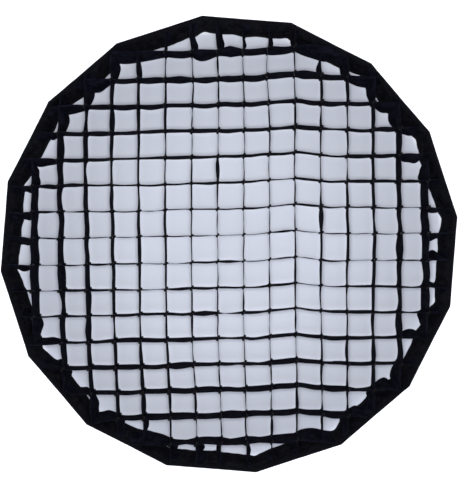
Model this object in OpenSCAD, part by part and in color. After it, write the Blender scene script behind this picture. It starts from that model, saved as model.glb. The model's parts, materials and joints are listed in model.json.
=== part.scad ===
// Fabric egg-crate grid for the mouth of a large sixteen-sided softbox.
// Cloth strips on edge cross at right angles and are sewn into a tapering cloth rim.
// Frame: millimetres, +Z up, +X to the right seen from the front, -Y towards the subject.
// Origin: on the rim's axis, halfway between the front and the back of the rim.

/* [Rim] */
// Distance between two opposite corners of the rim's front edge
across_corners = 900; // [700:10:1100]
// Number of flat cloth panels round the rim
rim_sides = 16; // [12:2:20]
// Turn of the rim against the strips, clockwise seen from the front, in degrees
rim_turn = 4.5; // [0:0.5:9]
// How much nearer the axis the rim's back edge is than its front edge
rim_taper = 16; // [4:1:20]
// Thickness of a rim panel, two layers of cloth
rim_t = 1.6; // [1:0.1:2.5]

/* [Strips] */
// Depth of the strips and of the rim, front to back
depth = 45; // [40:1:60]
// Clear width of one cell
cell_w = 50.8; // [45:0.1:80]
// Thickness of a strip, two layers of cloth
strip_t = 1.2; // [0.8:0.1:2]
// Free room on each side of a strip in the slot that crosses it
slot_clear = 0.2; // [0.1:0.05:0.4]

/* [Trim] */
// Width that the edge ribbon covers on each face of the rim
ribbon_w = 8; // [6:1:9]
// Thickness of the edge ribbon
ribbon_t = 0.7; // [0.5:0.1:1]
// Width of the hook tape on the rim's outer face
hook_w = 20; // [16:1:20]
// Thickness of the hook tape, hooks included
hook_t = 2.2; // [1.5:0.1:3]
// Bare cloth left at each end of a length of hook tape
hook_end = 9; // [6:1:20]
// Width of a bar tack across the corner of a crossing
tack_w = 2.4; // [1.5:0.1:3]
// Length of a bar tack along the depth
tack_len = 12; // [8:1:16]

/* [Hidden] */

// Gap left between two pieces that are sewn together
sewn_gap = 0.1;
// Gap left between a strip's end and the rim's inner face, where the ribbon also runs
strip_end_gap = ribbon_t + 2 * sewn_gap;
// Distance from the front edge to the nearest end of a bar tack
tack_inset = 2;
// Least distance from a slotted and tacked crossing to the rim's back edge
crossing_margin = tack_w + 3;

half_depth = depth / 2;
pitch = cell_w + strip_t;
slot_w = strip_t + 2 * slot_clear;
side_angle = 360 / rim_sides;
corner_cos = cos(side_angle / 2);
side_tan = tan(side_angle / 2);
taper_angle = atan(rim_taper / depth);
// Thicknesses measured along the radius, because the wall leans
rim_rt = rim_t / cos(taper_angle);
ribbon_rt = ribbon_t / cos(taper_angle);
hook_rt = hook_t / cos(taper_angle);
gap_rt = sewn_gap / cos(taper_angle);

// Distance from the axis to the wall's outer face at depth y
wall_front = across_corners / 2 * corner_cos - ribbon_rt - gap_rt;
function wall_outer(y) = wall_front - rim_taper * (y + half_depth) / depth;
function wall_inner(y) = wall_outer(y) - rim_rt;

// Strips on each side of the centre, none closer to the wall than a fifth of a cell
strips_half = floor(wall_inner(half_depth) / pitch + 0.5 - 0.2);
strips = 2 * strips_half;
function offset_of(i) = (i - (strips + 1) / 2) * pitch;

// Outward normal of panel k in the plane of the grid, panel 1 at the top, then clockwise
function panel_angle(k) = 90 - rim_turn - (k - 1) * side_angle;
function normal(k) = [cos(panel_angle(k)), sin(panel_angle(k))];
function dot(a, b) = a[0] * b[0] + a[1] * b[1];

// How far one goes from point p in direction d before meeting the wall at distance a
function reach(p, d, a) = min([
    for (k = [1 : rim_sides])
        let (along = dot(normal(k), d))
        if (along > 0.05) (a - dot(normal(k), p)) / along
]);
// The same for a strip of full thickness, whose faces lie to either side of p
function strip_reach(p, d, y) =
    let (side = [d[1], d[0]] * strip_t / 2, a = wall_inner(y) - strip_end_gap)
    min(reach(p + side, d, a), reach(p - side, d, a));

// Distance of point p from the axis, measured square to the nearest panel
function spread(p) = max([for (k = [1 : rim_sides]) dot(normal(k), p)]);
// A crossing is whole where both strips reach it over their full depth
function whole_crossing(p) = spread(p) < wall_inner(half_depth) - crossing_margin;
// Where the wall cuts into a crossing, the upright strip stops against the level one
function upright_stop(i, side) = min(concat([across_corners], [
    for (j = [1 : strips])
        let (z = offset_of(j))
        if (z * side > 0 && !whole_crossing([offset_of(i), z])) abs(z) - slot_w / 2
]));

function two_digits(i) = i < 10 ? str("0", i) : str(i);
function upright_name(i) = str("upright_strip_", two_digits(i));
function level_name(i) = str("level_strip_", two_digits(i));
function panel_name(k) = str("rim_panel_", two_digits(k));

cloth_colour = [0.07, 0.07, 0.085];
rim_colour = [0.05, 0.05, 0.06];
ribbon_colour = [0.09, 0.09, 0.1];
hook_colour = [0.12, 0.12, 0.13];
thread_colour = [0.16, 0.15, 0.18];

// Outline of a strip laid flat: its ends lean with the wall, slots run in from one edge.
// p is a point on the strip, d its direction, stops how far it may run behind and ahead.
module strip_outline(p, d, stops, slots_from_front) {
    behind = [for (y = [-half_depth, half_depth]) -min(strip_reach(p, -d, y), stops[0])];
    ahead = [for (y = [-half_depth, half_depth]) min(strip_reach(p, d, y), stops[1])];
    slot_start = slots_from_front ? -half_depth - 1 : -slot_clear / 2;
    difference() {
        polygon([
            [behind[0], -half_depth],
            [ahead[0], -half_depth],
            [ahead[1], half_depth],
            [behind[1], half_depth]
        ]);
        for (j = [1 : strips])
            if (whole_crossing(p + offset_of(j) * d))
                translate([offset_of(j) - slot_w / 2, slot_start])
                    square([slot_w, half_depth + 1 + slot_clear / 2]);
    }
}

// Upright strip, slotted from its front edge
module upright_strip(i) {
    stops = [upright_stop(i, -1), upright_stop(i, 1)];
    color(cloth_colour)
        translate([offset_of(i), 0, 0])
            rotate([0, -90, 0])
                linear_extrude(height = strip_t, center = true)
                    strip_outline([offset_of(i), 0], [0, 1], stops, true);
}

// Level strip, slotted from its back edge; strip 1 is the top one
module level_strip(i) {
    stops = [across_corners, across_corners];
    color(cloth_colour)
        translate([0, 0, -offset_of(i)])
            linear_extrude(height = strip_t, center = true)
                strip_outline([0, -offset_of(i)], [1, 0], stops, false);
}

// Turns a shape drawn against a wall at +X round the axis to panel k
module at_panel(k) {
    rotate([0, -panel_angle(k), 0])
        children();
}

// Sector of the plane that belongs to one panel, cut back a little at both mitres
module panel_sector() {
    sector_r = across_corners;
    rotate([90, 0, 0])
        linear_extrude(height = 2 * depth, center = true)
            translate([sewn_gap / 2 / sin(side_angle / 2), 0])
                polygon([[0, 0], [sector_r, sector_r * side_tan], [sector_r, -sector_r * side_tan]]);
}

// One flat trapezium of doubled cloth, mitred at both corners of the rim
module rim_panel(k) {
    color(rim_colour)
        at_panel(k)
            intersection() {
                linear_extrude(height = across_corners, center = true)
                    polygon([
                        [wall_inner(-half_depth), -half_depth],
                        [wall_outer(-half_depth), -half_depth],
                        [wall_outer(half_depth), half_depth],
                        [wall_inner(half_depth), half_depth]
                    ]);
                panel_sector();
            }
}

// Carries a closed outline of [distance from axis, y] points once round the corners of the rim
module mitred_ring(outline) {
    n = len(outline);
    points = [
        for (k = [1 : rim_sides])
            let (a = panel_angle(k) - side_angle / 2)
            for (q = outline)
                [q[0] / corner_cos * cos(a), q[1], q[0] / corner_cos * sin(a)]
    ];
    faces = [
        for (k = [0 : rim_sides - 1])
            let (this = k * n, next = ((k + 1) % rim_sides) * n)
            for (j = [0 : n - 1])
                let (m = (j + 1) % n)
                [this + j, this + m, next + m, next + j]
    ];
    polyhedron(points = points, faces = faces, convexity = 4);
}

// Folded ribbon round one edge of the rim; side is -1 at the front and 1 at the back
module edge_ribbon(side) {
    edge = side * half_depth;
    fold_in = edge + side * sewn_gap;
    fold_out = fold_in + side * ribbon_t;
    leg = edge - side * ribbon_w;
    section = [
        [wall_outer(leg) + gap_rt, leg],
        [wall_outer(leg) + gap_rt + ribbon_rt, leg],
        [wall_outer(edge) + gap_rt + ribbon_rt, fold_out],
        [wall_inner(edge) - gap_rt - ribbon_rt, fold_out],
        [wall_inner(leg) - gap_rt - ribbon_rt, leg],
        [wall_inner(leg) - gap_rt, leg],
        [wall_inner(edge) - gap_rt, fold_in],
        [wall_outer(edge) + gap_rt, fold_in]
    ];
    reversed = [for (j = [len(section) - 1 : -1 : 0]) section[j]];
    color(ribbon_colour)
        mitred_ring(side < 0 ? section : reversed);
}

module front_edge_ribbon() {
    edge_ribbon(-1);
}

module back_edge_ribbon() {
    edge_ribbon(1);
}

// One straight length of hook tape on the outer face of each panel
module hook_tape_lengths() {
    tape_len = 2 * (wall_outer(half_depth) * side_tan - hook_end);
    color(hook_colour)
        for (k = [1 : rim_sides])
            at_panel(k)
                linear_extrude(height = tape_len, center = true)
                    polygon([
                        [wall_outer(-hook_w / 2) + gap_rt, -hook_w / 2],
                        [wall_outer(-hook_w / 2) + gap_rt + hook_rt, -hook_w / 2],
                        [wall_outer(hook_w / 2) + gap_rt + hook_rt, hook_w / 2],
                        [wall_outer(hook_w / 2) + gap_rt, hook_w / 2]
                    ]);
}

// Thread column in one corner of a crossing; side is -1 near the front and 1 near the back
module bar_tack(p, side) {
    corner = strip_t / 2 + sewn_gap;
    middle = side * (half_depth - tack_inset - tack_len / 2);
    translate([p[0], middle, p[1]])
        rotate([90, 0, 0])
            linear_extrude(height = tack_len, center = true)
                scale([-side, -side])
                    polygon([
                        [corner, corner],
                        [corner + tack_w, corner],
                        [corner, corner + tack_w]
                    ]);
}

// Two bar tacks at each crossing, in opposite corners
module crossing_bar_tacks() {
    color(thread_colour)
        for (i = [1 : strips])
            for (j = [1 : strips])
                let (p = [offset_of(i), offset_of(j)])
                if (whole_crossing(p)) {
                    bar_tack(p, -1);
                    bar_tack(p, 1);
                }
}

for (i = [1 : strips])
    upright_strip(i);
for (i = [1 : strips])
    level_strip(i);
for (k = [1 : rim_sides])
    rim_panel(k);
front_edge_ribbon();
back_edge_ribbon();
hook_tape_lengths();
crossing_bar_tacks();
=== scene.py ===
import json
import math

import bpy
import numpy as np
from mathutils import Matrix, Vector


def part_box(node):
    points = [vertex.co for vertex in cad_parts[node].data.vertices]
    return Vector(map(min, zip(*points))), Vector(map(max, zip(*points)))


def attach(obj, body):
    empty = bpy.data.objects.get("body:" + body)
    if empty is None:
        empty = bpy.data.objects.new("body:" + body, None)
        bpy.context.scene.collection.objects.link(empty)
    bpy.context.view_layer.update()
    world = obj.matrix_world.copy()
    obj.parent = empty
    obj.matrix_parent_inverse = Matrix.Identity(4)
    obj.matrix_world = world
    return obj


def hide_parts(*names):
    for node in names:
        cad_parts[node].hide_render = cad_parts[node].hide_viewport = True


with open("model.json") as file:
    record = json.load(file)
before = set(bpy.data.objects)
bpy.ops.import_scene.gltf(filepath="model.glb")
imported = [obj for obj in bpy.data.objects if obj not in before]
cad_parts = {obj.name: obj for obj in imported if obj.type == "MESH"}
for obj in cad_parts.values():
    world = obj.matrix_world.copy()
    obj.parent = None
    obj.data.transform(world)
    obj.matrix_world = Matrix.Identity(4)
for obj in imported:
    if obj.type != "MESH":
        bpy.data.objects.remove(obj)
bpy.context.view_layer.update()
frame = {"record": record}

# Softbox egg-crate grid: cloth strips on edge, sewn at their crossings and into a leaning cloth rim.
# Shapes are worked out in millimetres and turned into metres when a mesh is made.
MM = 0.001
SEED = 4

# Sizes of the sewn pieces that the CAD also uses
RIM_T = 1.6
HOOK_T = 2.2
SEWN_GAP = 0.1
RIBBON_T = 0.7
RIBBON_W = 8.0
HOOK_W = 20.0
HOOK_END = 9.0
STRIP_T = 1.2
SLOT_HALF = 0.8
STRIPS = 16
TACK_LEN = 12.0


# ---------------------------------------------------------------- the frame, read in millimetres

def box_mm(node):
    low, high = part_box(node)
    return np.array(low) / MM, np.array(high) / MM


def names(stem, count):
    return ["%s_%02d" % (stem, i) for i in range(1, count + 1)]


mounts = {m["name"]: m for m in frame["record"]["mounts"]}
tape_mounts = sorted(n for n in mounts if n.startswith("hook_tape_"))
SIDES = len(tape_mounts)
SIDE_TAN = math.tan(math.pi / SIDES)
HALF = box_mm("rim_panel_01")[1][1]
Y_AXIS = np.array([0.0, 1.0, 0.0])


def read_wall():
    """The rim's inner face as planes: each panel's outward and along directions, lean and distance."""
    outward, along = [], []
    for name in tape_mounts:
        axis = np.array(mounts[name]["axis"])
        phi = math.atan2(axis[2], axis[0])
        outward.append([math.cos(phi), 0.0, math.sin(phi)])
        along.append([math.sin(phi), 0.0, -math.cos(phi)])
    lean = math.asin(axis[1])
    face = float(np.dot(axis, np.array(mounts[name]["pos_m"]) / MM))
    return np.array(outward), np.array(along), lean, face - HOOK_T - SEWN_GAP - RIM_T


OUTWARD, ALONG, LEAN, WALL_PLANE = read_wall()


def wall_radius(y, inset):
    """Distance from the axis to the wall at depth y, inset millimetres inside its inner face."""
    return (WALL_PLANE - inset - math.sin(LEAN) * y) / math.cos(LEAN)


def smooth(t):
    t = np.clip(t, 0.0, 1.0)
    return t * t * (3.0 - 2.0 * t)


# ---------------------------------------------------------------- how the cloth lies

FADE = 70.0              # the lattice's ripples die out over this distance from the rim
OUTER = 390.0            # distance of the outermost strips from the axis
SAG = -7.0               # the level strips hang this much below their places, and more to the left
TILT = 0.021
TILT_END = 110.0
KINK_X = 134.0           # an upright fold line, where every level strip comes to a low peak
KINK_RISE = 6.6
KINK_LEFT = 96.0         # how far the fold reaches on either side
KINK_RIGHT = 66.0
LOW_ROWS = -2.2          # the rows just below the middle hang lowest
LOW_AT = -50.0
LOW_REACH = 60.0
LIFT_BELOW = 3.2         # and the bottom ones are held up by the rim
LIFT_FROM = -200.0
LIFT_REACH = 150.0
SHIFT = 1.6              # the whole lattice lies a little to the right
DRAW = (0.0072, 0.0080)  # the strips take up a little cloth at each crossing, which draws the lattice in
PINCH = 0.024            # the lower ends of the upright strips draw to the right and together
PINCH_SHIFT = 6.6
PINCH_CURVE = 1.7
RIPPLE = (0.7, 0.6)      # slow ripple of the lattice, sideways and up
TWIST = 0.42             # slow lean of the strips to either side
LEAN_OUT = 0.0065        # back edges of the upright strips stand outwards, most half way to the rim
LEAN_END = 400.0
LEAN_LEFT = -1.5         # but those on the far left lean inwards
LEFT_FROM = -190.0
LEFT_REACH = 170.0
LEAN_DOWN = 0.001        # back edges of the level strips lie lower in the upper half
LEAN_UP = 0.0024         # and higher in the lower half
# The outermost strips' back edges lie further in: how much, from what distance out, and over what reach
EDGE_LEFT = (1.4, 330.0, 60.0)
EDGE_RIGHT = (2.8, 310.0, 80.0)
EDGE_TOP = (0.9, 330.0, 60.0)
EDGE_BOTTOM = (1.6, 330.0, 60.0)
# Slow bulges of the upright strips: centre x and z, half widths, sideways push
BULGES = (
    (-255.0, 170.0, 120.0, 110.0, -3.6),
    (300.0, 15.0, 90.0, 60.0, 3.0),
    (-78.0, 338.0, 60.0, 60.0, 3.5),
    (78.0, 340.0, 40.0, 60.0, -4.5),
    (-330.0, -110.0, 60.0, 60.0, 2.4),
    (-60.0, 0.0, 120.0, 500.0, 2.0),
)


def wave_table(count, shortest, longest, seed):
    """Random plane waves: wave numbers, phases and amplitudes that share out one millimetre."""
    rng = np.random.default_rng(seed)
    turn = rng.uniform(0, 2 * math.pi, count)
    number = 2 * math.pi / rng.uniform(shortest, longest, count)
    phase = rng.uniform(0, 2 * math.pi, count)
    return np.stack([number * np.cos(turn), number * np.sin(turn), phase], 1), 1.4 / math.sqrt(count)


def waves(table, a, b):
    numbers, size = table
    total = np.zeros(np.broadcast(a, b).shape)
    for ka, kb, phase in numbers:
        total += np.sin(ka * a + kb * b + phase)
    return total * size


WAVE_X = wave_table(9, 130.0, 420.0, SEED + 1)
WAVE_Z = wave_table(9, 130.0, 420.0, SEED + 2)
LEAN_X = wave_table(9, 90.0, 300.0, SEED + 3)
LEAN_Z = wave_table(9, 90.0, 300.0, SEED + 4)
WALL_WAVE = wave_table(12, 14.0, 60.0, SEED + 5)
PUCKERS = wave_table(10, 16.0, 40.0, SEED + 6)


def room_to_wall(x, z):
    """Distance from a point of the lattice to the nearest panel, half way through the depth."""
    reach = wall_radius(0.0, 0.0)
    spread = np.max([o[0] * x + o[2] * z for o in OUTWARD], axis=0)
    return reach - spread


def drift(x, z):
    """How the whole lattice hangs: its sag, its tilt, the fold on its right and the pinch at its foot."""
    dx = SHIFT - DRAW[0] * x + smooth(-z / OUTER) ** PINCH_CURVE * (PINCH_SHIFT - PINCH * x)
    for at_x, at_z, wide_x, wide_z, push in BULGES:
        dx = dx + push * np.exp(-((x - at_x) / wide_x) ** 2 - ((z - at_z) / wide_z) ** 2)
    left = np.clip((x - KINK_X + KINK_LEFT) / KINK_LEFT, 0.0, 1.0) ** 1.25
    right = np.clip((KINK_X + KINK_RIGHT - x) / KINK_RIGHT, 0.0, 1.0)
    dz = SAG + TILT * np.minimum(x, TILT_END) + KINK_RISE * np.where(x < KINK_X, left, right)
    dz = dz - DRAW[1] * z + LOW_ROWS * np.exp(-((z - LOW_AT) / LOW_REACH) ** 2)
    return dx, dz + LIFT_BELOW * smooth((LIFT_FROM - z) / LIFT_REACH)


def edge_lean(rule, out):
    """Lean of the outermost strips at a distance out from the axis."""
    amount, start, reach = rule
    return amount * smooth((out - start) / reach)


def warp(x, z, y):
    """Sideways and upward shift of the lattice at a point; both families of strips share it."""
    calm = smooth(room_to_wall(x, z) / FADE)
    deep = y / HALF
    dx, dz = drift(x, z)
    lean_x = LEAN_OUT * x * (1.0 - (x / LEAN_END) ** 2) - LEAN_LEFT * smooth((LEFT_FROM - x) / LEFT_REACH)
    lean_z = np.where(z > 0.0, -LEAN_DOWN * z, -LEAN_UP * z)
    edge_x = edge_lean(EDGE_LEFT, -x) - edge_lean(EDGE_RIGHT, x)
    edge_z = edge_lean(EDGE_BOTTOM, -z) - edge_lean(EDGE_TOP, z)
    ripple_x = RIPPLE[0] * waves(WAVE_X, x, z) + deep * (TWIST * waves(LEAN_X, x, z) + lean_x)
    ripple_z = RIPPLE[1] * waves(WAVE_Z, x, z) + deep * (TWIST * waves(LEAN_Z, x, z) + lean_z)
    return dx + calm * ripple_x + deep * edge_x, dz + calm * ripple_z + deep * edge_z


# ---------------------------------------------------------------- how the rim's panels lie

BOW = (1.7, 3.6)         # the back of each panel is drawn in between its corners, more on slanting panels
WALL_RIPPLE = 0.5
FRONT_SHARE = 0.08       # the front edge moves by this share of what the back edge does
CORNER_REACH = 14.0      # a panel is at rest at its corners and moves fully this far from them
PANEL_STEP = 400.0       # keeps the noise and the weave of the panels apart from each other
PUCKER = 0.7
CREASE_FAN = (5.0, 12.0)
CREASE_DEPTH = 1.0
CREASE_WIDTH = 2.0

# Each panel's list of sewn strip ends, as (place at the front, place at the back, depth, width)
seams = [[] for _ in range(SIDES)]


def dent(k, u, y):
    """How far the wall of panel k is drawn in at (u, y) by the strips sewn to it."""
    deep = (y + HALF) / (2 * HALF)
    grow = FRONT_SHARE + (1.0 - FRONT_SHARE) * np.clip(deep, 0.0, 1.0) ** 1.2
    total = WALL_RIPPLE * waves(WALL_WAVE, u + PANEL_STEP * k, y * 1.7)
    # Puckers cross the cloth, and two creases fan out towards the front from each sewn strip end
    fan = CREASE_FAN[0] + CREASE_FAN[1] * (1.0 - deep)
    creases = PUCKER * waves(PUCKERS, u + 0.5 * y + PANEL_STEP * k, 0.25 * y)
    for front, back, depth, width in seams[k]:
        off = np.abs(u - front - (back - front) * deep)
        total = total + depth * np.exp(-off / width)
        creases = creases - CREASE_DEPTH * np.exp(-((off - fan * width / 10.0) / CREASE_WIDTH) ** 2)
    corner = wall_radius(y, 0.0) * SIDE_TAN
    slant = 2.0 * abs(OUTWARD[k][0] * OUTWARD[k][2])
    total = total + (BOW[0] + BOW[1] * slant) * (1.0 - np.clip(np.abs(u) / corner, 0.0, 1.0) ** 2)
    creases = creases * np.sin(math.pi * np.clip(deep, 0.0, 1.0))
    return (total * grow + creases) * smooth((corner - np.abs(u)) / CORNER_REACH)


def keep_inside(points, gap):
    """Moves any point of a strip that lies in the wall back to its inner side."""
    for k in range(SIDES):
        y = points[..., 1]
        u = points @ ALONG[k]
        over = points @ OUTWARD[k] - wall_radius(y, gap + dent(k, u, y))
        over = np.where(np.abs(u) < wall_radius(y, 0.0) * SIDE_TAN + 6.0, np.clip(over, 0.0, 30.0), 0.0)
        points = points - over[..., None] * OUTWARD[k]
    return points


def wall_point(k, u, y, inset):
    """Point of panel k at u along it and depth y, inset millimetres inside its inner face."""
    u, y = np.broadcast_arrays(np.asarray(u, float), np.asarray(y, float))
    r = wall_radius(y, inset + dent(k, u, y))
    return r[..., None] * OUTWARD[k] + u[..., None] * ALONG[k] + y[..., None] * Y_AXIS


# ---------------------------------------------------------------- meshes

def make_object(name, points, faces, uvs):
    """A mesh object from millimetre points, faces and one UV pair, in millimetres, for each point."""
    used = np.unique(np.concatenate([np.ravel(f) for f in faces]))
    renumber = np.full(len(points), -1)
    renumber[used] = np.arange(len(used))
    mesh = bpy.data.meshes.new(name)
    quads = [renumber[f].tolist() for f in faces]
    mesh.from_pydata((points[used] * MM).tolist(), [], [q for group in quads for q in group])
    layer = mesh.uv_layers.new(name="cloth")
    loops = np.zeros(len(mesh.loops), np.int32)
    mesh.loops.foreach_get("vertex_index", loops)
    layer.data.foreach_set("uv", (uvs[used][loops] * MM).astype(np.float32).ravel())
    mesh.polygons.foreach_set("use_smooth", np.ones(len(mesh.polygons), bool))
    mesh.set_sharp_from_angle(angle=math.radians(50))
    mesh.update()
    obj = bpy.data.objects.new(name, mesh)
    bpy.context.scene.collection.objects.link(obj)
    return obj


def shell(name, front, back, uv, present=None):
    """A closed skin between two grids of points, left open where present is False."""
    cols, rows = front.shape[:2]
    if present is None:
        present = np.ones((cols - 1, rows - 1), bool)
    index = np.arange(cols * rows).reshape(cols, rows)
    other = index + cols * rows
    a, b, c, d = index[:-1, :-1], index[1:, :-1], index[1:, 1:], index[:-1, 1:]
    e, f, g, h = other[:-1, :-1], other[1:, :-1], other[1:, 1:], other[:-1, 1:]
    padded = np.pad(present, 1)
    here = padded[1:-1, 1:-1]
    edges = [
        (here & ~padded[:-2, 1:-1], (a, d, h, e)),
        (here & ~padded[2:, 1:-1], (c, b, f, g)),
        (here & ~padded[1:-1, :-2], (b, a, e, f)),
        (here & ~padded[1:-1, 2:], (d, c, g, h)),
    ]
    faces = [np.stack([q[here] for q in quad], 1) for quad in ((a, b, c, d), (h, g, f, e))]
    faces += [np.stack([q[where] for q in quad], 1) for where, quad in edges if where.any()]
    points = np.concatenate([front.reshape(-1, 3), back.reshape(-1, 3)])
    return make_object(name, points, faces, np.concatenate([uv.reshape(-1, 2)] * 2))


def normals_of(grid):
    along = np.gradient(grid, axis=0)
    across = np.gradient(grid, axis=1)
    n = np.cross(along, across)
    return n / np.maximum(np.linalg.norm(n, axis=-1, keepdims=True), 1e-9)


def tubes(name, paths, radii, sides):
    """Closed tubes along many paths of equal length; radii is (points, 2), across and up."""
    paths = np.asarray(paths)
    count, length = paths.shape[:2]
    ahead = np.gradient(paths, axis=1)
    ahead /= np.linalg.norm(ahead, axis=-1, keepdims=True)
    chord = np.cross(paths[:, -1] - paths[:, 0], paths[:, length // 2] - paths[:, 0])
    chord /= np.maximum(np.linalg.norm(chord, axis=-1, keepdims=True), 1e-9)
    side = np.repeat(chord[:, None], length, 1)
    up = np.cross(side, ahead)
    turn = np.arange(sides) * 2 * math.pi / sides
    ring = (np.cos(turn)[None, None, :, None] * side[:, :, None] * radii[None, :, None, 0:1]
            + np.sin(turn)[None, None, :, None] * up[:, :, None] * radii[None, :, None, 1:2])
    points = (paths[:, :, None] + ring).reshape(-1, 3)
    index = np.arange(count * length * sides).reshape(count, length, sides)
    nxt = np.roll(index, -1, axis=2)
    quads = np.stack([index[:, :-1], nxt[:, :-1], nxt[:, 1:], index[:, 1:]], -1).reshape(-1, 4)
    starts = index[:, 0, ::-1].reshape(count, sides)
    ends = index[:, -1].reshape(count, sides)
    step = np.linalg.norm(np.diff(paths, axis=1), axis=-1)
    far = np.concatenate([np.zeros((count, 1)), np.cumsum(step, 1)], 1) + 37.0 * np.arange(count)[:, None]
    u = np.repeat(far[:, :, None], sides, 2)
    v = np.broadcast_to(turn / math.pi, u.shape)
    return make_object(name, points, [quads, starts, ends], np.stack([u, v], -1).reshape(-1, 2))


# ---------------------------------------------------------------- strips

UPRIGHT_STRIPS = names("upright_strip", STRIPS)
LEVEL_STRIPS = names("level_strip", STRIPS)
FAMILY_AXIS = {"upright": 0, "level": 2}


def family_of(node):
    return node.split("_")[0]


def strip_offset(node):
    """Distance of a strip from the grid's axis, to the right or up."""
    low, high = box_mm(node)
    axis = FAMILY_AXIS[family_of(node)]
    return (low[axis] + high[axis]) / 2


offsets = {node: strip_offset(node) for node in UPRIGHT_STRIPS + LEVEL_STRIPS}
UPRIGHTS = np.array([offsets[n] for n in UPRIGHT_STRIPS])
LEVELS = np.sort([offsets[n] for n in LEVEL_STRIPS])
WHOLE_ROOM = 3.0
AHEAD = 0.05             # panels that turn away from a strip's direction by more than this aren't met

# Rows of points across a strip, and the cloth's half thickness at its edges, in its hems and between them
HALF_ROWS = np.array([7.0, 13.5, 16.5, 17.2, 19.5, 22.0, 22.5])
ROWS = np.concatenate([-HALF_ROWS[::-1], [0.0], HALF_ROWS]) * HALF / HALF_ROWS[-1]
EDGE_HALF, HEM_HALF, WEB_HALF = 0.20, 0.42, 0.30
EDGE_FROM, HEM_FROM = 22.2, 17.0
OUT_ROWS = np.abs(ROWS)
ROW_HALF = np.where(OUT_ROWS > EDGE_FROM, EDGE_HALF, np.where(OUT_ROWS > HEM_FROM, HEM_HALF, WEB_HALF))
TAB_ROWS = 14.0          # the sewn tabs are narrower than the strip and end this far from its middle
INNER_STEPS = 8
END_STEP = 5.0
TAB_LONG = 11.0
TAB_SHORT = 2.2          # in turn radii
TAB_ROOM = 1.5
TURN_R = 1.8
TURN_INSET = STRIP_T / 2 + 0.15
BODY_ROOM = 0.5
STRIP_STEP = 1300.0      # keeps the weave of the strips apart from each other

# How a strip's end is sewn to its panel
SEAM_SLIP = 1.8          # how far it strays along its panel
ASKEW = (6.0, 15.0)      # how far its back edge swings on a panel that it meets squarely
ASKEW_SHARE = 0.8        # and how much of this the seam itself takes up
ASKEW_MORE = {"upright": 0.85, "level": 0.3}   # share of ends whose back edge lies further right, or higher
NATURAL = (0.1, 0.8)     # on a slanting panel, the share of the slant that a flat strip would have
SQUARE_SLOPE = 0.45
SQUARE_REACH = 0.3
FLAT_SLOPE = 0.12        # below this slope a tab may be folded to either side
CORNER_ROOM = 4.0
STOP_SHORT = 2.5         # an upright strip that ends this far from the wall in CAD stops at a level strip
STOP_ROOM = 0.6
SEAM_PULL = (1.0, 4.0)   # how far a sewn end draws the wall in, and how wide
SEAM_SPREAD = (6.0, 14.0)

# How the loose length between the last crossing and the rim lies
LOBE = (2.0, 6.0)        # half its twist
LOBE_SLANT = 0.9
LOBE_SQUARE = 0.5
LOBE_MEAN, LOBE_DEEP = 0.5, 0.8
END_BOW = 1.5
END_PEAK = 0.4           # how far the deepest place strays from the middle
FLUTTER = (0.8, 0.9)
FLUTTER_WAVES = 3.1
SHORT_END = 40.0         # shorter lengths move less

# How the stretches between crossings lie
BOW_SIDE = 0.55
LEVEL_SAG = -0.7
STRETCH_LEAN = 0.45      # lean from front to back
ODD_LEAN = 1.3           # and of the few stretches that lean far
ODD_SHARE = 0.16
WAVER = 0.25
SKEW = 0.7               # how far the deepest place strays from the middle
CREASED = 0.5            # share of the stretches that lean to a crease and not in a smooth curve
CREASE_TOP = (0.25, 0.75)
CREASE_MORE = 1.15
NEAR_MORE = 0.6          # the stretches near the rim lean this much more
NEAR_FROM = 60.0
NEAR_REACH = 90.0
HANG = 2.0               # the back edges of the level strips hang near the rim, except on the lowest strips
HANG_FROM = -250.0
HANG_REACH = 150.0


def whole(x, z):
    """True where two strips cross over their full depth, as the CAD's slots do."""
    spread = max(o[0] * x + o[2] * z for o in OUTWARD)
    return spread < wall_radius(HALF, 0.0) - WHOLE_ROOM


def to_world(family, across, along, y):
    across, along, y = np.broadcast_arrays(across, along, y)
    if family == "upright":
        return np.stack([across, y, along], -1)
    return np.stack([along, y, across], -1)


def crossings_of(family, offset):
    if family == "upright":
        return np.array([c for c in LEVELS if whole(offset, c)])
    return np.array([c for c in UPRIGHTS if whole(c, offset)])


def wall_hit(family, offset, side, y):
    """Panel that a strip's line meets at depth y, and how far along the line."""
    p = to_world(family, offset, 0.0, 0.0)
    forward = OUTWARD @ to_world(family, 0.0, float(side), 0.0)
    room = (wall_radius(y, TURN_INSET) - OUTWARD @ p) / np.where(forward > AHEAD, forward, np.inf)
    room[forward <= AHEAD] = np.inf
    k = int(np.argmin(room))
    return k, float(room[k])


def seam_line(family, offset, side, k):
    """Places along panel k where a flat strip's front and back edges would meet it."""
    p = to_world(family, offset, 0.0, 0.0)
    d = to_world(family, 0.0, float(side), 0.0)
    forward = OUTWARD[k] @ d
    hits = []
    for y in (-HALF, HALF):
        reach = (wall_radius(y, TURN_INSET) - OUTWARD[k] @ p) / forward
        hits.append(float((p + reach * d) @ ALONG[k]))
    return hits


def stop_of(node, side):
    """The level strip that an upright strip stops against at one end, or None where it reaches the rim."""
    if family_of(node) != "upright":
        return None
    low, high = box_mm(node)
    limit = high[2] if side > 0 else -low[2]
    if wall_hit("upright", offsets[node], side, -HALF)[1] - limit <= STOP_SHORT:
        return None
    return min(LEVEL_STRIPS, key=lambda n: abs(offsets[n] - side * limit))


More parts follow.
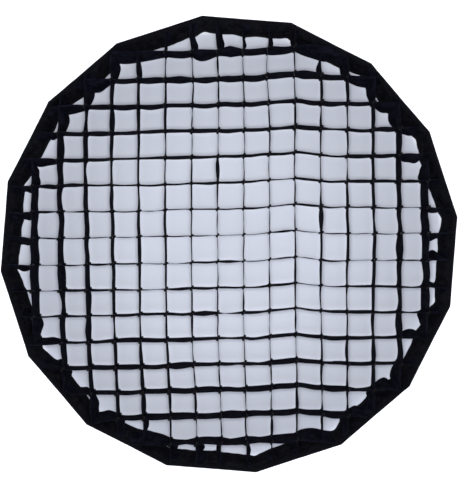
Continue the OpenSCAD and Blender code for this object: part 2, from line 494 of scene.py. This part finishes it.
def plan_end(node, side, rng):
    """Where one end of a strip is sewn: the panel, its seam line and the way its tab is folded."""
    family = family_of(node)
    offset = offsets[node]
    first = to_world(family, offset, wall_hit(family, offset, side, 0.0)[1] * side, 0.0)
    drifted = offset + float(drift(first[0], first[2])[0 if family == "upright" else 1])
    k = wall_hit(family, drifted, side, 0.0)[0]
    hits = seam_line(family, drifted, side, k)
    slope = float(ALONG[k] @ to_world(family, 0.0, float(side), 0.0))
    fold = 1.0 if slope > FLAT_SLOPE else -1.0 if slope < -FLAT_SLOPE else float(rng.choice([-1.0, 1.0]))
    # On a panel that a strip meets squarely its end is sewn askew; on a slanting one it runs straight
    square = smooth((SQUARE_SLOPE - abs(slope)) / SQUARE_REACH)
    to_more = 1.0 if rng.random() < ASKEW_MORE[family] else -1.0
    askew = float(rng.uniform(*ASKEW)) * to_more * np.sign(ALONG[k][FAMILY_AXIS[family]])
    shift = rng.normal(0.0, SEAM_SLIP, 2) + np.array([0.0, ASKEW_SHARE]) * askew * square
    natural = float(rng.uniform(*NATURAL)) * (1.0 - square) * (hits[1] - hits[0])
    corner = wall_radius(HALF, 0.0) * SIDE_TAN - CORNER_ROOM
    front = hits[0] + shift[0]
    ends = np.clip([front, front + shift[1] + natural], -corner, corner)
    if corner - fold * float(np.mean(ends)) < 0.5 * TAB_LONG:
        fold = -fold
    # The back edge of the loose end swings towards the middle of the grid where the panel slants
    inward = -1.0 if offset > 0 else 1.0
    loose = float(rng.uniform(*LOBE)) * (1.0 + LOBE_SQUARE * square)
    lobe = (1.0 - square) * inward * LOBE_SLANT * loose + square * loose * to_more
    return {"k": k, "u": ends, "fold": fold, "stop": stop_of(node, side), "offset": drifted, "lobe": lobe,
            "swing": rng.normal(0.0, 1.0, 4)}


def stop_line(plan, side):
    """End of an upright strip that stops against a level strip, or at the wall where that comes first."""
    grid = level_grids[plan["stop"]]
    x = plan["offset"]
    ahead = OUTWARD @ to_world("upright", 0.0, float(side), 0.0)
    line = np.empty((len(ROWS), 3))
    for i, depth in enumerate(ROWS):
        order = np.argsort(grid[:, i, 0])
        z = np.interp(x, grid[order, i, 0], grid[order, i, 2]) - side * STRIP_T / 2
        room = wall_radius(depth, TURN_INSET + STOP_ROOM) - OUTWARD @ to_world("upright", x, 0.0, 0.0)
        reach = np.min(np.where(ahead > AHEAD, room / np.maximum(ahead, AHEAD), np.inf))
        line[i] = x, depth, side * min(side * z, reach)
    return line


def loose_end(family, plan, start, goal):
    """The loose cloth from a strip's last crossing towards its end, which bows, twists and flutters."""
    gap = goal - start
    length = float(np.mean(np.linalg.norm(gap, axis=1)))
    steps = max(2, int(round(length / END_STEP)))
    final = 1.0 if plan["stop"] is not None else 1.0 - TURN_R / length
    t = np.linspace(0.0, final, steps + 1)[1:]
    swing = plan["swing"]
    deep = ROWS / HALF
    peak = math.exp(END_PEAK * float(np.clip(swing[1], -1.5, 1.5)))
    twist = END_BOW * swing[0] + plan["lobe"] * (LOBE_MEAN + LOBE_DEEP * deep)
    flutter = FLUTTER[0] * swing[2] + FLUTTER[1] * swing[3] * deep
    belly = np.sin(math.pi * np.clip(t, 0, 1) ** peak)[:, None] * twist
    belly = belly + (np.sin(FLUTTER_WAVES * math.pi * t) * t)[:, None] * flutter
    columns = start[None] + t[:, None, None] * gap[None]
    columns[..., FAMILY_AXIS[family]] += belly * min(1.0, length / SHORT_END)
    return columns


def end_columns(node, side, start):
    """Columns of a strip beyond its last crossing, and how many of them come before its fold and tab."""
    family = family_of(node)
    plan = end_plans[node, side]
    if plan["stop"] is not None:
        columns = loose_end(family, plan, start, stop_line(plan, side))
        return columns, len(columns)
    k, fold = plan["k"], plan["fold"]
    u = plan["u"][0] + (plan["u"][1] - plan["u"][0]) * ((ROWS + HALF) / (2 * HALF))
    goal = wall_point(k, u, ROWS, TURN_INSET)
    columns = loose_end(family, plan, start, goal)
    corner = wall_radius(HALF, 0.0) * SIDE_TAN - TAB_ROOM
    tab = np.clip(corner - fold * u, TAB_SHORT * TURN_R, TAB_LONG)
    beyond = wall_point(k, u + fold * TURN_R, ROWS, TURN_INSET)
    turn = [(1 - t) ** 2 * columns[-1] + 2 * t * (1 - t) * goal + t * t * beyond for t in (0.35, 0.7, 1.0)]
    turn += [wall_point(k, u + fold * (TURN_R + (tab - TURN_R) * t), ROWS, TURN_INSET) for t in (0.5, 1.0)]
    return np.concatenate([columns, np.array(turn)]), len(columns)


def strip_places(crossings):
    """Places along a strip that have a column of points: the sides of each slot, and steps between slots."""
    places = []
    for j, c in enumerate(crossings):
        places += [c - SLOT_HALF, c + SLOT_HALF]
        if j + 1 < len(crossings):
            ends = c + SLOT_HALF, crossings[j + 1] - SLOT_HALF
            places += list(np.linspace(ends[0], ends[1], INNER_STEPS + 1)[1:-1])
    return np.array(places)


def shape_stretches(across, family, offset, crossings, places, rng):
    """Adds to a strip's body how each stretch between two crossings bows, leans and wavers."""
    n = len(crossings)
    stretch = np.clip(np.searchsorted(crossings, places, side="right") - 1, 0, n - 2)
    t = (places - crossings[stretch]) / np.diff(crossings)[stretch]
    t = np.clip(t, 0.0, 1.0)[:, None]
    out = np.abs(offset) / OUTER
    outer = 1.0 + 0.9 * out ** 2 + 0.8 * out ** 8
    room = room_to_wall(offset, crossings) if family == "upright" else room_to_wall(crossings, offset)
    near = 1.0 + NEAR_MORE * (1.0 - smooth((room - NEAR_FROM) / NEAR_REACH))
    bow = outer * rng.normal(0.0, BOW_SIDE, n)
    lean = near * outer * rng.normal(0.0, STRETCH_LEAN, n)
    lean = lean + (rng.random(n) < ODD_SHARE) * rng.normal(0.0, ODD_LEAN, n)
    if family == "level":
        bow = LEVEL_SAG + bow
        lean = lean - HANG * (near - 1.0) * smooth((offset - HANG_FROM) / HANG_REACH)
    waver = outer * rng.normal(0.0, WAVER, n)
    skew = np.exp(rng.normal(0.0, SKEW, n))
    top = rng.uniform(*CREASE_TOP, n)
    creased = rng.random(n) < CREASED
    by_place = (v[stretch][:, None] for v in (bow, lean, waver, skew, top, creased))
    bow, lean, waver, skew, top, creased = by_place
    tent = np.minimum(t / top, (1.0 - t) / (1.0 - top)) * CREASE_MORE
    profile = np.where(creased, tent, np.sin(math.pi * t ** skew))
    across = across + np.sin(math.pi * t) * bow + profile * lean * ROWS[None, :] / HALF
    return across + np.sin(2 * math.pi * t) * waver


def cloth_present(family, crossings, places, low, high):
    """Which quads of a strip hold cloth: none in its slots, and none beside its narrower tabs.

    low and high are the numbers of columns before and after the strip's body, and of those short of the fold.
    """
    present = np.ones((low[0] + len(places) + high[0] - 1, len(ROWS) - 1), bool)
    middle = (ROWS[:-1] + ROWS[1:]) / 2
    slot_rows = middle < 0 if family == "upright" else middle > 0
    for c in crossings:
        present[low[0] + int(np.argmin(np.abs(places - (c - SLOT_HALF)))), slot_rows] = False
    beside_tab = np.abs(middle) > TAB_ROWS
    present[:low[0] - low[1], beside_tab] = False
    present[low[0] + len(places) - 1 + high[1]:, beside_tab] = False
    return present


def strip_cloth(node, seed):
    """One strip: doubled cloth on edge with hemmed edges, slots at its crossings and sewn-down ends."""
    rng = np.random.default_rng(seed)
    family = family_of(node)
    offset = offsets[node]
    crossings = crossings_of(family, offset)
    places = strip_places(crossings)
    straight = to_world(family, offset, places, 0.0)
    dx, dz = warp(straight[:, 0, None], straight[:, 2, None], ROWS[None, :])
    across, along = (dx, dz) if family == "upright" else (dz, dx)
    across = shape_stretches(across + offset, family, offset, crossings, places, rng)
    body = to_world(family, across, along + places[:, None], ROWS[None, :])
    body = keep_inside(body, TURN_INSET + BODY_ROOM)
    low_cols, low_loose = end_columns(node, -1, body[0])
    high_cols, high_loose = end_columns(node, 1, body[-1])
    grid = np.concatenate([low_cols[::-1], body, high_cols])
    if family == "level":
        level_grids[node] = grid
    low, high = (len(low_cols), low_loose), (len(high_cols), high_loose)
    present = cloth_present(family, crossings, places, low, high)
    thick = normals_of(grid) * ROW_HALF[None, :, None]
    middle = grid[:, len(ROWS) // 2]
    far = np.concatenate([[0.0], np.cumsum(np.linalg.norm(np.diff(middle, axis=0), axis=1))])
    weave_at = far + STRIP_STEP * (seed % 97)
    uv = np.stack(np.broadcast_arrays(weave_at[:, None], ROWS[None, :]), -1)
    obj = shell(node + "_cloth", grid + thick, grid - thick, uv, present)
    finish_piece(obj, "strip_cloth", [node])
    return obj


def finish_piece(obj, slot, nodes):
    obj.data.materials.append(materials[slot])
    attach(obj, "root")
    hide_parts(*nodes)


rim_nodes = names("rim_panel", SIDES)


# ---------------------------------------------------------------- rim, ribbons and hook tape

PANEL_COLUMNS = 108
PANEL_ROWS = 19
RING_COLUMNS = 30
TAPE_COLUMNS = 24
TAPE_STEP = 200.0


def rim_panel(k):
    """One of the rim's panels: a skin inside and out that meets its neighbours at the corners."""
    s = np.linspace(-1.0, 1.0, PANEL_COLUMNS + 1)[:, None]
    y = np.linspace(-HALF, HALF, PANEL_ROWS)[None, :]
    skins = []
    for inset in (0.0, -RIM_T):
        u = s * wall_radius(y, inset) * SIDE_TAN
        skins.append(wall_point(k, u, y, inset))
    middle = wall_radius(0.0, 0.0) * SIDE_TAN
    uv = np.stack(np.broadcast_arrays(s * middle + PANEL_STEP * k, y), -1)
    node = rim_nodes[k]
    obj = shell(node + "_cloth", skins[0], skins[1], uv)
    finish_piece(obj, "rim_cloth", [node])
    return obj


def ring(name, section):
    """A closed band round the whole rim; section is a closed loop of (inset, depth) pairs."""
    section = np.array(section)
    rounds = []
    for k in range(SIDES):
        s = np.linspace(-1.0, 1.0, RING_COLUMNS + 1)[:-1, None]
        u = s * wall_radius(section[None, :, 1], section[None, :, 0]) * SIDE_TAN
        rounds.append(wall_point(k, u, section[None, :, 1], section[None, :, 0]))
    grid = np.concatenate(rounds)
    cols, rows = grid.shape[:2]
    index = np.arange(cols * rows).reshape(cols, rows)
    nxt = np.roll(index, -1, 0)
    quads = np.stack([index, np.roll(index, -1, 1), np.roll(nxt, -1, 1), nxt], -1).reshape(-1, 4)
    step = np.linalg.norm(np.roll(section, -1, 0) - section, axis=1)
    v = np.concatenate([[0.0], np.cumsum(step)[:-1]])
    side = 2 * wall_radius(0.0, 0.0) * SIDE_TAN
    u = np.arange(cols)[:, None] * side / RING_COLUMNS
    uv = np.stack(np.broadcast_arrays(u, v[None]), -1).reshape(-1, 2)
    return make_object(name, grid.reshape(-1, 3), [quads], uv)


def ribbon_section(edge):
    """Loop of a ribbon folded over one edge of the rim; edge is -1 at the front and 1 at the back."""
    lip = edge * (HALF + SEWN_GAP)
    crown = edge * (HALF + SEWN_GAP + RIBBON_T)
    inner, outer = SEWN_GAP, -RIM_T - SEWN_GAP
    skirt = edge * (HALF - RIBBON_W + RIBBON_T)
    half = edge * (HALF - RIBBON_W / 2)
    outside = [(inner + RIBBON_T, skirt), (inner + RIBBON_T, half), (inner + RIBBON_T, lip - edge * 0.6),
               (inner + 0.7 * RIBBON_T, crown - edge * 0.25), (inner - 0.3, crown),
               (outer + 0.3, crown), (outer - 0.7 * RIBBON_T, crown - edge * 0.25),
               (outer - RIBBON_T, lip - edge * 0.6), (outer - RIBBON_T, half), (outer - RIBBON_T, skirt)]
    inside = [(outer, skirt), (outer, half), (outer, lip), (inner, lip), (inner, half), (inner, skirt)]
    loop = outside + inside
    return loop if edge > 0 else loop[::-1]


def edge_ribbon(node, edge):
    obj = ring(node + "_cloth", ribbon_section(edge))
    finish_piece(obj, "edge_ribbon", [node])
    return obj


def hook_tapes():
    """The lengths of hook tape sewn round the outside of the rim, one to a panel."""
    points, faces, uvs = [], [], []
    base = 0
    tall = HOOK_W / 2
    section = np.array([(0.0, -tall), (0.9, -tall), (1.1, -tall + 1.6), (HOOK_T, -tall + 2.2),
                        (HOOK_T, 0.0), (HOOK_T, tall - 2.2), (1.1, tall - 1.6), (0.9, tall),
                        (0.0, tall), (0.0, 0.0)])
    rows = len(section)
    for k in range(SIDES):
        end = wall_radius(tall, 0.0) * SIDE_TAN - HOOK_END
        u = np.linspace(-end, end, TAPE_COLUMNS + 1)[:, None]
        grid = wall_point(k, u, section[None, :, 1], -RIM_T - SEWN_GAP - section[None, :, 0])
        index = base + np.arange((TAPE_COLUMNS + 1) * rows).reshape(TAPE_COLUMNS + 1, rows)
        turn = np.roll(index, -1, 1)
        faces.append(np.stack([index[:-1], index[1:], turn[1:], turn[:-1]], -1).reshape(-1, 4))
        for ring_row in (index[0], index[-1, ::-1]):
            faces.append(ring_row[None])
        points.append(grid.reshape(-1, 3))
        uvs.append(np.stack(np.broadcast_arrays(u + TAPE_STEP * k, section[None, :, 1]), -1).reshape(-1, 2))
        base += index.size
    obj = make_object("hook_tape_cloth", np.concatenate(points), faces, np.concatenate(uvs))
    finish_piece(obj, "hook_tape", ["hook_tape_lengths"])
    return obj


TACK_LAP = 2.3           # how far each leg of a tack lies from the middle of its crossing
TACK_ACROSS, TACK_UP = 1.8, 1.2


def bar_tacks():
    """Short bars of thread that bind every crossing at its front and back edges."""
    rng = np.random.default_rng(SEED + 900)
    paths = []
    for x in UPRIGHTS:
        for z in LEVELS:
            if not whole(x, z):
                continue
            for edge in (-1.0, 1.0):
                paths.append(tack_path(x, z, edge, rng))
    legs = np.tile([TACK_ACROSS, TACK_UP], (len(paths[0]), 1))
    legs[[0, -1]] *= 0.45
    obj = tubes("crossing_bar_tacks_thread", paths, legs, 7)
    finish_piece(obj, "bar_tack_thread", ["crossing_bar_tacks"])
    return obj


def tack_path(x, z, edge, rng):
    """Down one corner of a crossing, over its edge and down the opposite corner."""
    over = HALF + 0.6
    deep = TACK_LEN + rng.normal(0.0, 0.5)
    bend = math.radians(float(rng.normal(0.0, 7.0)))
    stations = [(1.0, over - deep), (1.0, over - 0.66 * deep), (1.0, over - 0.33 * deep), (1.0, over - 1.6),
                (0.92, over - 0.5), (0.55, over), (0.0, over + 0.15)]
    stations += [(-a, h) for a, h in stations[-2::-1]]
    points = []
    for a, h in stations:
        dx, dz = warp(np.array(x), np.array(z), np.array(edge * min(h, HALF)))
        side = edge * TACK_LAP * a
        points.append([x + dx + side * math.cos(bend) - side * math.sin(bend), edge * h,
                       z + dz + side * math.sin(bend) + side * math.cos(bend)])
    return np.array(points)


# ---------------------------------------------------------------- materials

class Nodes:
    """Small helper for building a node tree: it makes nodes and joins them."""

    def __init__(self, name):
        self.material = bpy.data.materials.new(name)
        self.material.use_nodes = True
        self.tree = self.material.node_tree
        self.tree.nodes.clear()
        self.out = self.tree.nodes.new("ShaderNodeOutputMaterial")

    def node(self, kind, inputs=None, **settings):
        made = self.tree.nodes.new("ShaderNode" + kind)
        for key, value in settings.items():
            setattr(made, key, value)
        for key, value in (inputs or {}).items():
            self.put(made.inputs[key], value)
        return made

    def put(self, socket, value):
        if isinstance(value, bpy.types.NodeSocket):
            self.tree.links.new(value, socket)
        else:
            socket.default_value = value

    def math(self, operation, *values):
        return self.node("Math", dict(enumerate(values)), operation=operation).outputs[0]

    def ramp(self, value, low, high, to_low=0.0, to_high=1.0):
        inputs = {"Value": value, "From Min": low, "From Max": high, "To Min": to_low, "To Max": to_high}
        return self.node("MapRange", inputs).outputs[0]

    def mix(self, factor, first, second):
        made = self.node("Mix", data_type="RGBA")
        self.put(made.inputs[0], factor)
        self.put(made.inputs[6], first)
        self.put(made.inputs[7], second)
        return made.outputs[2]

    def place(self):
        """Place on the cloth in millimetres: along, across and the pair as a vector."""
        uv = self.node("UVMap", uv_map="cloth").outputs[0]
        scaled = self.node("VectorMath", {0: uv, 1: (1 / MM,) * 3}, operation="MULTIPLY").outputs[0]
        parts = self.node("SeparateXYZ", {0: scaled})
        return parts.outputs[0], parts.outputs[1], scaled

    def noise(self, vector, scale, detail=3.0, rough=0.55):
        inputs = {"Vector": vector, "Scale": scale, "Detail": detail, "Roughness": rough}
        return self.node("TexNoise", inputs).outputs[0]

    def wave(self, value, pitch, phase=0.0):
        turned = self.math("MULTIPLY_ADD", value, 2 * math.pi / pitch, phase)
        return self.math("SINE", turned)

    def band(self, value, middle, half, soft):
        off = self.math("ABSOLUTE", self.math("SUBTRACT", value, middle))
        return self.ramp(off, half, half + soft, 1.0, 0.0)

    def finish(self, colour, height, distance, roughness, sheen, specular):
        bump = self.node("Bump", {"Height": height, "Strength": 1.0, "Distance": distance})
        shader = self.node("BsdfPrincipled", {"Base Color": colour, "Normal": bump.outputs[0],
                                              "Roughness": roughness})
        shader.inputs["Sheen Weight"].default_value = sheen
        shader.inputs["Sheen Roughness"].default_value = 0.5
        shader.inputs["Sheen Tint"].default_value = (0.80, 0.82, 1.0, 1.0)
        shader.inputs["Specular IOR Level"].default_value = specular
        self.tree.links.new(shader.outputs[0], self.out.inputs[0])
        return self.material


def stitches(n, u, v, line, stitch, gap, half):
    """Dashes of thread along a line across the cloth; 1 on the thread."""
    along = n.math("FRACT", n.math("DIVIDE", u, stitch + gap))
    dash = n.ramp(n.math("ABSOLUTE", n.math("SUBTRACT", along, 0.5)), 0.5 * stitch / (stitch + gap) - 0.06,
                  0.5 * stitch / (stitch + gap), 1.0, 0.0)
    return n.math("MULTIPLY", dash, n.band(n.math("ABSOLUTE", v), line, half, half))


def woven(name, dark, light, warp_mm, weft_mm, sheen, specular, hem, stitch_line):
    """Woven cloth: crossing threads, patchy tone, thin dark lines of painted crease shade, lint, worn hem
    edges and stitching.
    """
    n = Nodes(name)
    u, v, place = n.place()
    weave = n.math("MULTIPLY", n.wave(u, warp_mm), n.wave(v, weft_mm))
    drawn = n.node("VectorMath", {0: place, 1: (0.25, 3.0, 1.0)}, operation="MULTIPLY").outputs[0]
    slubs = n.noise(drawn, 1.0)
    patches = n.noise(place, 0.06, 4.0)
    lint = n.ramp(n.noise(place, 1.4, 2.0), 0.68, 0.76)
    # Painted crease shade: thin lines along the noise's middle, where creases would fall into shade
    painted_crease_shade = n.band(n.noise(place, 0.035, 2.0), 0.5, 0.006, 0.03)
    edge = n.ramp(n.math("ABSOLUTE", v), hem - 0.9, hem, 0.0, 1.0)
    thread = stitches(n, u, v, stitch_line, 2.6, 0.7, 0.28)
    shade = n.math("MULTIPLY_ADD", weave, 0.16, n.ramp(patches, 0.36, 0.64, 0.0, 0.7))
    shade = n.math("ADD", shade, n.math("MULTIPLY", slubs, 0.3))
    shade = n.math("ADD", shade, n.math("MULTIPLY", edge, 0.4))
    colour = n.mix(n.math("MINIMUM", shade, 1.0), dark, light)
    colour = n.mix(n.math("MULTIPLY", lint, 0.15), colour, (0.03, 0.03, 0.035, 1.0))
    # Painted crease shade: the thin lines darken the cloth towards its darkest colour
    colour = n.mix(n.math("MULTIPLY", painted_crease_shade, 0.75), colour, dark)
    colour = n.mix(n.math("MULTIPLY", thread, 0.55), colour, (0.010, 0.010, 0.013, 1.0))
    height = n.math("ADD", n.math("MULTIPLY", weave, 0.35), n.math("MULTIPLY", slubs, 0.5))
    height = n.math("ADD", height, n.math("MULTIPLY", thread, 1.2))
    roughness = n.ramp(patches, 0.3, 0.7, 0.78, 0.92)
    return n.finish(colour, height, 0.00018, roughness, sheen, specular)


def grosgrain(name):
    """Ribbon with close ribs across it and a woven edge."""
    n = Nodes(name)
    u, v, place = n.place()
    ribs = n.wave(u, 1.1)
    patches = n.noise(place, 0.05, 3.0)
    shade = n.math("MULTIPLY_ADD", ribs, 0.3, n.ramp(patches, 0.3, 0.7, 0.25, 0.7))
    colour = n.mix(shade, (0.0013, 0.0013, 0.0024, 1.0), (0.0040, 0.0040, 0.0063, 1.0))
    thread = stitches(n, u, n.math("SUBTRACT", v, 3.2), 0.0, 2.6, 0.7, 0.28)
    colour = n.mix(n.math("MULTIPLY", thread, 0.5), colour, (0.011, 0.011, 0.014, 1.0))
    height = n.math("ADD", n.math("MULTIPLY", ribs, 0.6), n.math("MULTIPLY", thread, 1.0))
    return n.finish(colour, height, 0.00022, n.ramp(patches, 0.3, 0.7, 0.68, 0.82), 0.012, 0.07)


def hooked(name):
    """Hook tape: a plain selvedge each side and fine rows of hooks between."""
    n = Nodes(name)
    u, v, place = n.place()
    field = n.ramp(n.math("ABSOLUTE", v), HOOK_W / 2 - 2.6, HOOK_W / 2 - 2.2, 1.0, 0.0)
    rows = n.math("MULTIPLY", n.wave(u, 1.3), n.wave(v, 1.6))
    hooks = n.math("MULTIPLY", n.ramp(rows, 0.1, 0.8), field)
    patches = n.noise(place, 0.09, 3.0)
    shade = n.math("ADD", n.math("MULTIPLY", hooks, 0.55), n.ramp(patches, 0.3, 0.7, 0.0, 0.35))
    colour = n.mix(shade, (0.0025, 0.0025, 0.0034, 1.0), (0.014, 0.014, 0.017, 1.0))
    thread = stitches(n, u, v, HOOK_W / 2 - 1.4, 2.6, 0.7, 0.28)
    colour = n.mix(n.math("MULTIPLY", thread, 0.5), colour, (0.014, 0.014, 0.017, 1.0))
    height = n.math("ADD", n.math("MULTIPLY", hooks, 2.2), thread)
    return n.finish(colour, height, 0.00030, n.ramp(hooks, 0.0, 1.0, 0.75, 0.5), 0.01, 0.14)


def thread_bar(name):
    """Satin thread laid tightly across a bar tack."""
    n = Nodes(name)
    u, v, place = n.place()
    wraps = n.wave(u, 0.55)
    fuzz = n.noise(place, 1.1, 3.0)
    shade = n.math("MULTIPLY_ADD", wraps, 0.3, fuzz)
    colour = n.mix(shade, (0.0012, 0.0011, 0.0016, 1.0), (0.0042, 0.0038, 0.0046, 1.0))
    height = n.math("MULTIPLY_ADD", wraps, 0.7, n.math("MULTIPLY", fuzz, 0.3))
    return n.finish(colour, height, 0.00020, n.ramp(fuzz, 0.3, 0.7, 0.5, 0.7), 0.01, 0.12)


materials = {
    "strip_cloth": woven("strip_cloth_look", (0.0015, 0.0015, 0.0036, 1.0), (0.0102, 0.0102, 0.0190, 1.0),
                         0.62, 0.62, 0.002, 0.01, HALF, 16.8),
    "rim_cloth": woven("rim_cloth_look", (0.0010, 0.0010, 0.0018, 1.0), (0.0090, 0.0093, 0.0134, 1.0),
                       0.95, 0.95, 0.006, 0.04, HALF, 13.0),
    "edge_ribbon": grosgrain("edge_ribbon_look"),
    "hook_tape": hooked("hook_tape_look"),
    "bar_tack_thread": thread_bar("bar_tack_thread_look"),
}


# ---------------------------------------------------------------- building

level_grids = {}
end_plans = {}
ALL_STRIPS = LEVEL_STRIPS + UPRIGHT_STRIPS
for number, strip in enumerate(ALL_STRIPS):
    plan_rng = np.random.default_rng(SEED * 1000 + number)
    for side in (-1, 1):
        plan = plan_end(strip, side, plan_rng)
        end_plans[strip, side] = plan
        if plan["stop"] is None:
            pull = float(plan_rng.uniform(*SEAM_PULL))
            spread = float(plan_rng.uniform(*SEAM_SPREAD))
            seams[plan["k"]].append((plan["u"][0], plan["u"][1], pull, spread))

# The level strips come first, because some upright strips stop against them
for number, strip in enumerate(ALL_STRIPS):
    strip_cloth(strip, SEED * 100 + number)
for panel in range(SIDES):
    rim_panel(panel)
edge_ribbon("front_edge_ribbon", -1.0)
edge_ribbon("back_edge_ribbon", 1.0)
hook_tapes()
bar_tacks()


# ---------------------------------------------------------------- stage, light and camera

BACKDROP_Y = 0.032
BACKDROP_HIGH = 4.0
FLOOR_Z = -0.53
STAGE_REACH = 6.0
GLOW = 0.8               # the backdrop glows white from a distance round the grid's axis outwards
GLOW_FROM = 0.425
GLOW_FULL = 0.46
PAINTED_FALLOFF = 0.765              # and its paper is painted a little darker towards the rim than in the middle: painted shade for the light falling off
PAINTED_FALLOFF_FROM = 0.18
LIGHT_AT = (0.025, -1.45, 0.008)
LIGHT_SIZE = 0.35
LIGHT_POWER = 13.3
WORLD_LIGHT = 0.9
CAMERA_AT = (0.025, -1.5225, 0.008)
SEEN_HEIGHT = 0.9548     # height of the picture at the grid's front edge
SENSOR = 36.0


def slab(name, corners, material):
    mesh = bpy.data.meshes.new(name)
    mesh.from_pydata(corners, [], [(0, 1, 2, 3)])
    obj = bpy.data.objects.new(name, mesh)
    bpy.context.scene.collection.objects.link(obj)
    mesh.materials.append(material)
    return obj


def matt_paper(name, colour, backdrop):
    """Pale matt paper with a faint mottle. The backdrop's is clear from behind and glows round the grid."""
    n = Nodes(name)
    where = n.node("TexCoord").outputs["Object"]
    mottle = n.noise(where, 9.0, 2.0)
    shade = n.mix(mottle, colour, dimmed(colour, 0.985))
    shader = n.node("BsdfPrincipled", {"Base Color": shade, "Roughness": 0.9})
    shader.inputs["Specular IOR Level"].default_value = 0.0
    surface = shader.outputs[0]
    if backdrop:
        away = n.node("VectorMath", {0: where, 1: (1.0, 0.0, 1.0)}, operation="MULTIPLY").outputs[0]
        away = n.node("VectorMath", {0: away}, operation="LENGTH").outputs["Value"]
        # Painted shade: the backdrop's colour darkens from the middle outwards, as if less light fell there
        shade = n.mix(n.ramp(away, PAINTED_FALLOFF_FROM, GLOW_FROM), shade, dimmed(colour, PAINTED_FALLOFF))
        n.put(shader.inputs["Base Color"], shade)
        shader.inputs["Emission Color"].default_value = (1.0, 1.0, 1.0, 1.0)
        n.put(shader.inputs["Emission Strength"], n.ramp(away, GLOW_FROM, GLOW_FULL, 0.0, GLOW))
        behind = n.node("NewGeometry").outputs["Backfacing"]
        clear = n.node("BsdfTransparent").outputs[0]
        surface = n.node("MixShader", {0: behind, 1: surface, 2: clear}).outputs[0]
    n.tree.links.new(surface, n.out.inputs[0])
    return n.material


def dimmed(colour, factor):
    return tuple(factor * c for c in colour[:3]) + (1.0,)


def rectangle(corner, opposite):
    """Four corners of an upright or level rectangle, given two opposite ones."""
    x0, y0, z0 = corner
    x1, y1, z1 = opposite
    return [(x0, y0, z0), (x1, y0, z0), (x1, y1, z1), (x0, y1, z1)]


backdrop_corners = rectangle((-STAGE_REACH, BACKDROP_Y, -BACKDROP_HIGH),
                             (STAGE_REACH, BACKDROP_Y, BACKDROP_HIGH))
floor_corners = rectangle((-STAGE_REACH, -STAGE_REACH, FLOOR_Z), (STAGE_REACH, STAGE_REACH, FLOOR_Z))
slab("backdrop", backdrop_corners, matt_paper("backdrop_paper", (0.80, 0.84, 0.965, 1.0), True))
slab("floor", floor_corners, matt_paper("floor_paper", (0.80, 0.81, 0.86, 1.0), False))


def soft_light(name, at, size, power):
    """A square white light that faces along +Y, towards the grid."""
    data = bpy.data.lights.new(name, "AREA")
    data.shape = "SQUARE"
    data.size = size
    data.energy = power
    obj = bpy.data.objects.new(name, data)
    obj.location = at
    obj.rotation_euler = Vector((0.0, 1.0, 0.0)).to_track_quat("-Z", "Y").to_euler()
    obj.visible_camera = False
    bpy.context.scene.collection.objects.link(obj)


soft_light("front_light", LIGHT_AT, LIGHT_SIZE, LIGHT_POWER)

world = bpy.data.worlds.new("studio")
world.use_nodes = True
world.node_tree.nodes["Background"].inputs[0].default_value = (1.0, 1.0, 1.0, 1.0)
world.node_tree.nodes["Background"].inputs[1].default_value = WORLD_LIGHT
bpy.context.scene.world = world

camera_data = bpy.data.cameras.new("camera")
camera_data.sensor_width = SENSOR
camera_data.lens = SENSOR * (-HALF * MM - CAMERA_AT[1]) / SEEN_HEIGHT
camera_data.shift_x = -CAMERA_AT[0] / SEEN_HEIGHT
camera_data.shift_y = -CAMERA_AT[2] / SEEN_HEIGHT
camera = bpy.data.objects.new("camera", camera_data)
camera.location = CAMERA_AT
camera.rotation_euler = (math.radians(90.0), 0.0, 0.0)
bpy.context.scene.collection.objects.link(camera)
bpy.context.scene.camera = camera
bpy.context.scene.view_settings.view_transform = "Standard"
